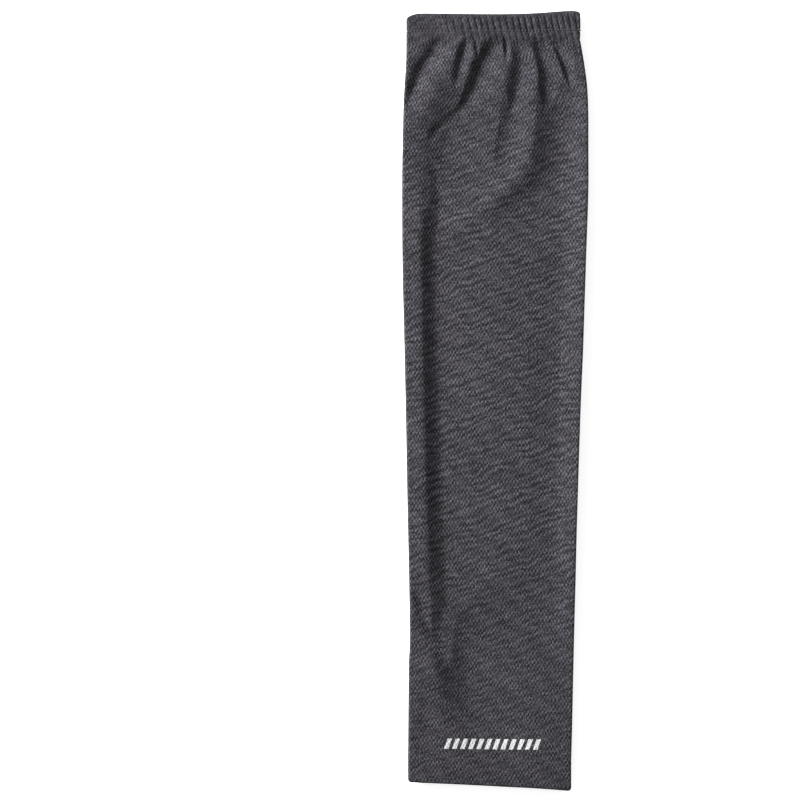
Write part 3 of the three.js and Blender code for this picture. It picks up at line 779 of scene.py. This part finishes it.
def streak_pattern(look, place, axes, u, v, bend):
    """Fine slanting streaks, which are weaker near the cuff and near the wrist."""
    phase = across_slope(look, u, v, STREAK_SLOPE, 1 / STREAK_PERIOD)
    streak = sine_of_turns(look, look.math("MULTIPLY_ADD", bend, STREAK_BEND, phase))
    along = along_slope(look, u, v, STREAK_SLOPE, STREAK_STRETCH)
    streak_place = look.add("ShaderNodeCombineXYZ", {"X": along, "Y": phase}).outputs["Vector"]
    uneven = look.between(look.noise(streak_place, scale=STREAK_SPOTS, detail=1.0), **STREAKS_UNEVEN)
    away_from_cuff = look.between(axes["Y"], **STREAKS_NEAR_CUFF)
    away_from_wrist = look.between(axes["Y"], **STREAKS_NEAR_WRIST)
    strength = look.math("MULTIPLY", uneven, look.math("MULTIPLY", away_from_cuff, away_from_wrist))
    return look.math("MULTIPLY", streak, strength)


def band_pattern(look, u, v, bend):
    """Wide faint bands that slant the other way."""
    phase = across_slope(look, u, v, BAND_SLOPE, 1 / BAND_PERIOD)
    return sine_of_turns(look, look.math("MULTIPLY_ADD", bend, BAND_BEND, phase))


def knit_look(name, tone=1.0, looseness=1.0):
    """Birdseye mesh knit: raised loops in staggered rows, with slanting streaks that are paler and darker.
    Its colour is painted shade in the gaps between the loops and the yarn's colour with painted highlight on
    their tops.

    tone makes the knit paler or darker. looseness is how far its loops and fibres stand apart, which is less
    where elastic draws it together.
    """
    look = Look(name)
    place = look.add("ShaderNodeUVMap", {}, uv_map="knit").outputs["UV"]
    axes = look.add("ShaderNodeSeparateXYZ", {"Vector": place}).outputs
    loops, u, v = loop_pattern(look, place, axes)
    bend = look.centred_noise(place, scale=SPOTS["bends"])
    streak = streak_pattern(look, place, axes, u, v, bend)
    band = band_pattern(look, u, v, bend)
    patch = look.math("MULTIPLY_ADD", streak, STREAKS_IN_LOOPS,
                      look.noise(place, scale=SPOTS["loops"], detail=1.5))
    strength = look.between(patch, *LOOPS_UNEVEN, to_low=LEAST_LOOPS * looseness,
                            to_high=MOST_LOOPS * looseness)
    weave = look.math("MULTIPLY", loops, strength)
    fibres = look.centred_noise(place, scale=SPOTS["fibres"], detail=1.0, roughness=0.6)
    rough_weave = look.math("MULTIPLY_ADD", fibres, FIBRES * looseness, weave)
    streaked = look.math("MULTIPLY_ADD", streak, STREAKS_IN_COLOUR, rough_weave)
    banded = look.math("MULTIPLY_ADD", band, BANDS_IN_COLOUR, streaked)
    # The relief sets the colour: painted shade in the low gaps between the loops, the yarn's colour with
    # painted highlight on the high loops
    lit_yarn_share = look.math("POWER", look.between(banded, *RELIEF_RANGE), YARN_SHADE_CONTRAST)
    printed = print_mask(look, axes["X"], axes["Y"])
    colour = look.mix(printed, look.mix(lit_yarn_share, GAP_SHADE, YARN_AND_HIGHLIGHT), PRINT)
    tint = look.between(look.noise(place, scale=SPOTS["tint"]), *TINT_UNEVEN, to_low=LEAST_TINT * tone,
                        to_high=MOST_TINT * tone)
    toned = look.add("ShaderNodeVectorMath", {0: colour, "Scale": tint}, operation="SCALE").outputs["Vector"]
    look.feed(look.shader.inputs["Base Color"], toned)
    look.feed(look.shader.inputs["Roughness"], look.between(rough_weave, **KNIT_ROUGHNESS))
    bump = look.add("ShaderNodeBump", {"Height": rough_weave, "Strength": KNIT_BUMP_STRENGTH,
                                       "Distance": KNIT_BUMP})
    look.feed(look.shader.inputs["Normal"], bump.outputs["Normal"])
    look.shader.inputs["Specular IOR Level"].default_value = KNIT_SPECULAR
    return look


def thread_look():
    """Spun sewing thread: a slight sheen, twisted fine grooves with painted shade in them, and uneven colour.
    """
    look = Look("thread")
    place = look.add("ShaderNodeTexCoord", {}).outputs["Object"]
    twist = look.add("ShaderNodeTexWave", {"Vector": place, "Scale": THREAD_TWIST,
                                           "Distortion": TWIST_DISTORTION},
                     bands_direction="DIAGONAL").outputs["Fac"]
    uneven = look.noise(place, scale=THREAD_SPOTS)
    # The colour is uneven spots of tone, plus painted shade in the twist's grooves
    share = look.math("MULTIPLY_ADD", uneven, 1 - TWIST_SHADE_SHARE, look.math("MULTIPLY", twist, TWIST_SHADE_SHARE))
    look.feed(look.shader.inputs["Base Color"], look.mix(share, THREAD_DARK, THREAD_PALE))
    look.feed(look.shader.inputs["Roughness"], look.between(share, **THREAD_ROUGHNESS))
    bump = look.add("ShaderNodeBump", {"Height": twist, "Strength": THREAD_BUMP_STRENGTH,
                                       "Distance": THREAD_BUMP})
    look.feed(look.shader.inputs["Normal"], bump.outputs["Normal"])
    return look


# Rows of stitches: the distance from one stitch to the next, its length and its thickness. Each stitch bows
# out of the cloth. STITCH_RISE and STITCH_SINK say how far, in half thicknesses, and STITCH_END how thin its
# ends are. NEAR_STITCH is the distance over which the cloth's slope is taken.
CUFF_STITCH = {"pitch": 1.8 * MM, "length": 1.3 * MM, "thickness": 0.45 * MM}
HEM_STITCH = {"pitch": 3.0 * MM, "length": 2.3 * MM, "thickness": 0.3 * MM}
STITCH_RISE = 1.1
STITCH_SINK = 0.6
STITCH_END = 0.45
NEAR_STITCH = 0.4 * MM


def interpolated(places, known_places, vectors):
    """The vectors at some places along a line, between those at the known places."""
    return np.stack([np.interp(places, known_places, axis) for axis in vectors.T], axis=1)


def stitch_row(name, down, pitch, length, thickness, material):
    """A row of short stitches round the sleeve, each bowed out of the cloth with both ends sunk in."""
    columns = columns_round(*STITCH_COLUMNS)
    near = surface_points(columns, np.array([down - NEAR_STITCH, down, down + NEAR_STITCH]))
    outward = outward_normals(near)[1]
    line = near[1]
    steps = np.linalg.norm(np.roll(line, -1, axis=0) - line, axis=1)
    gone = np.r_[0, np.cumsum(steps)]
    count = int(gone[-1] / pitch)
    shares = np.linspace(0, 1, STITCH_RINGS)
    bow = np.sin(shares * math.pi)[:, None]
    radius = thickness / 2 * (STITCH_END + (1 - STITCH_END) * bow)
    sides = np.linspace(0, 2 * math.pi, STITCH_SIDES, endpoint=False)
    vertices, faces = [], []
    for number in range(count):
        places = (number + 0.5) * gone[-1] / count + (shares - 0.5) * length
        centre = interpolated(places, gone[:-1], line)
        out = interpolated(places, gone[:-1], outward)
        centre = centre + out * (bow * STITCH_RISE - STITCH_SINK) * thickness / 2
        along = np.gradient(centre, axis=0)
        along = along / np.linalg.norm(along, axis=1, keepdims=True)
        beside = np.cross(along, out)
        first = len(vertices)
        for k in range(len(places)):
            round_it = np.cos(sides)[:, None] * out[k] + np.sin(sides)[:, None] * beside[k]
            vertices.extend((centre[k] + radius[k] * round_it).tolist())
        n = len(sides)
        for k in range(len(places) - 1):
            for i in range(n):
                j = (i + 1) % n
                a = first + k * n
                faces.append((a + i, a + j, a + n + j, a + n + i))
        faces.append(tuple(range(first, first + n))[::-1])
        last = first + (len(places) - 1) * n
        faces.append(tuple(range(last, last + n)))
    mesh = bpy.data.meshes.new(name)
    mesh.from_pydata(vertices, [], faces)
    mesh.polygons.foreach_set("use_smooth", np.ones(len(mesh.polygons), bool))
    mesh.materials.append(material)
    piece = bpy.data.objects.new(name, mesh)
    bpy.context.scene.collection.objects.link(piece)
    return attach(piece, "root")


def cuff_ribs(points, downs):
    """How far the ribs and stitch grooves move the cuff's face, for each point."""
    down = downs[:, None]
    past_stitches = down - CUFF_STITCHES
    share = (points[..., 0] - CUFF_LOW.x) / CUFF_WIDTH
    fade = LEAST_CUFF_RIB + (1 - LEAST_CUFF_RIB) * smoothstep(share, *CUFF_RIBS_ACROSS)
    fade = fade * smoothstep(down, *CUFF_RIBS_TOP)
    fade = fade * (1 - LOWERED_BY_STITCHES * smoothstep(past_stitches, *STITCH_SHOULDERS))
    groove = GROOVE_DEPTH * np.exp(-((past_stitches / GROOVE_HALF_WIDTH) ** 2))
    return rib_height(points[..., 0], down, fade) - groove


def make_sleeve():
    """The three pieces of cloth in place of the solids, and the two rows of stitches."""
    knit = knit_look("mesh_knit")
    cuff_knit = knit_look("gathered_knit", tone=0.95, looseness=0.6)
    thread = thread_look()
    body_downs = np.linspace(BODY_TOP, BODY_BOTTOM, TUBE_ROWS + 1)
    tube_downs = np.r_[BODY_TOP - OVERLAP, body_downs, BODY_BOTTOM + OVERLAP]
    tube = cloth_wall("tube_cloth", tube_downs, columns_round(*TUBE_COLUMNS), KNIT_THICKNESS, knit.material,
                      lining=LINING_ROWS, lining_shift=LINING_SHIFT, tucked=TUCK)
    cuff_downs = np.linspace(CUFF_THICKNESS / 2, CUFF_HEIGHT, CUFF_ROWS + 1)
    cuff = cloth_wall("cuff_cloth", cuff_downs, columns_round(*CUFF_COLUMNS, crowding=CUFF_CROWDING),
                      CUFF_THICKNESS, cuff_knit.material, ribs=cuff_ribs, lips=(True, False))
    hem_downs = np.linspace(BODY_BOTTOM, SIDE_LENGTH - HEM_THICKNESS / 2, HEM_ROWS + 1)
    hem = cloth_wall("hem_cloth", hem_downs, columns_round(*HEM_COLUMNS), HEM_THICKNESS, knit.material,
                     lips=(False, True))
    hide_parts("sleeve_tube")
    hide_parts("elastic_cuff")
    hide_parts("wrist_hem")
    rows = [stitch_row("cuff_stitches", CUFF_STITCHES, **CUFF_STITCH, material=thread.material),
            stitch_row("hem_stitches", BODY_BOTTOM, **HEM_STITCH, material=thread.material)]


# The floor is a pale backlit table, so that no grey shadow lies beside the sleeve
FLOOR_SIZE = 8.0
FLOOR_GLOW = 0.62
FLOOR_GAP = 0.4 * MM
FLOOR_DARK = (0.88, 0.88, 0.88, 1.0)
FLOOR_PALE = (0.9, 0.9, 0.9, 1.0)


def make_floor():
    """A wide square under the sleeve, lower by a small gap that the stitches below the sleeve need."""
    look = Look("pale_floor")
    place = look.add("ShaderNodeTexCoord", {}).outputs["Object"]
    colour = look.mix(look.noise(place, scale=3.0), FLOOR_DARK, FLOOR_PALE)
    look.feed(look.shader.inputs["Base Color"], colour)
    look.shader.inputs["Roughness"].default_value = 0.9
    look.shader.inputs["Emission Color"].default_value = (1.0, 1.0, 1.0, 1.0)
    look.shader.inputs["Emission Strength"].default_value = FLOOR_GLOW
    half = FLOOR_SIZE / 2
    mesh = bpy.data.meshes.new("floor")
    corners = [(-half, -half), (half, -half), (half, half), (-half, half)]
    mesh.from_pydata([(x, y, -FLOOR_GAP) for x, y in corners], [], [(0, 1, 2, 3)])
    mesh.materials.append(look.material)
    floor = bpy.data.objects.new("floor", mesh)
    bpy.context.scene.collection.objects.link(floor)


def softbox(name, place, size, power):
    """A square area light that points at the sleeve."""
    light = bpy.data.lights.new(name, "AREA")
    light.shape = "SQUARE"
    light.size = size
    light.energy = power
    lamp = bpy.data.objects.new(name, light)
    lamp.location = place
    lamp.rotation_euler = (-lamp.location).to_track_quat("-Z", "Y").to_euler()
    bpy.context.scene.collection.objects.link(lamp)


# One soft lamp at the upper left, in metres and watts, and an even white sky
KEY_PLACE = (-1.35, 0.68, 0.74)
KEY_SIZE = 0.55
KEY_POWER = 112.0
SKY_STRENGTH = 0.6


def make_light():
    """The soft lamp, the sky, and colours shown as they are."""
    softbox("key", KEY_PLACE, KEY_SIZE, KEY_POWER)
    world = bpy.data.worlds.new("studio")
    world.use_nodes = True
    world.node_tree.nodes["Background"].inputs["Color"].default_value = (1.0, 1.0, 1.0, 1.0)
    world.node_tree.nodes["Background"].inputs["Strength"].default_value = SKY_STRENGTH
    scene = bpy.context.scene
    scene.world = world
    scene.view_settings.view_transform = "Standard"
    scene.view_settings.look = "None"


# The photo's frame: how wide it is on the floor, and where the sleeve's middle is in it
FRAME_WIDTH = 442.2 * MM
FRAME_MIDDLE = (-52.65 * MM, 0.28 * MM)
CAMERA_HEIGHT = 2.5
CAMERA_REACH = 50.0
SENSOR_WIDTH = 36.0


def make_camera():
    """A camera straight above, whose view is as wide as the photo's at the height of the sleeve's sides."""
    camera = bpy.data.cameras.new("camera")
    camera.sensor_width = SENSOR_WIDTH
    camera.lens = SENSOR_WIDTH * (CAMERA_HEIGHT - SIDE_SHARE * BODY_LOFT) / FRAME_WIDTH
    camera.clip_end = CAMERA_REACH
    holder = bpy.data.objects.new("camera", camera)
    holder.location = (*FRAME_MIDDLE, CAMERA_HEIGHT)
    bpy.context.scene.collection.objects.link(holder)
    bpy.context.scene.camera = holder


make_camera()
make_sleeve()
make_floor()
make_light()
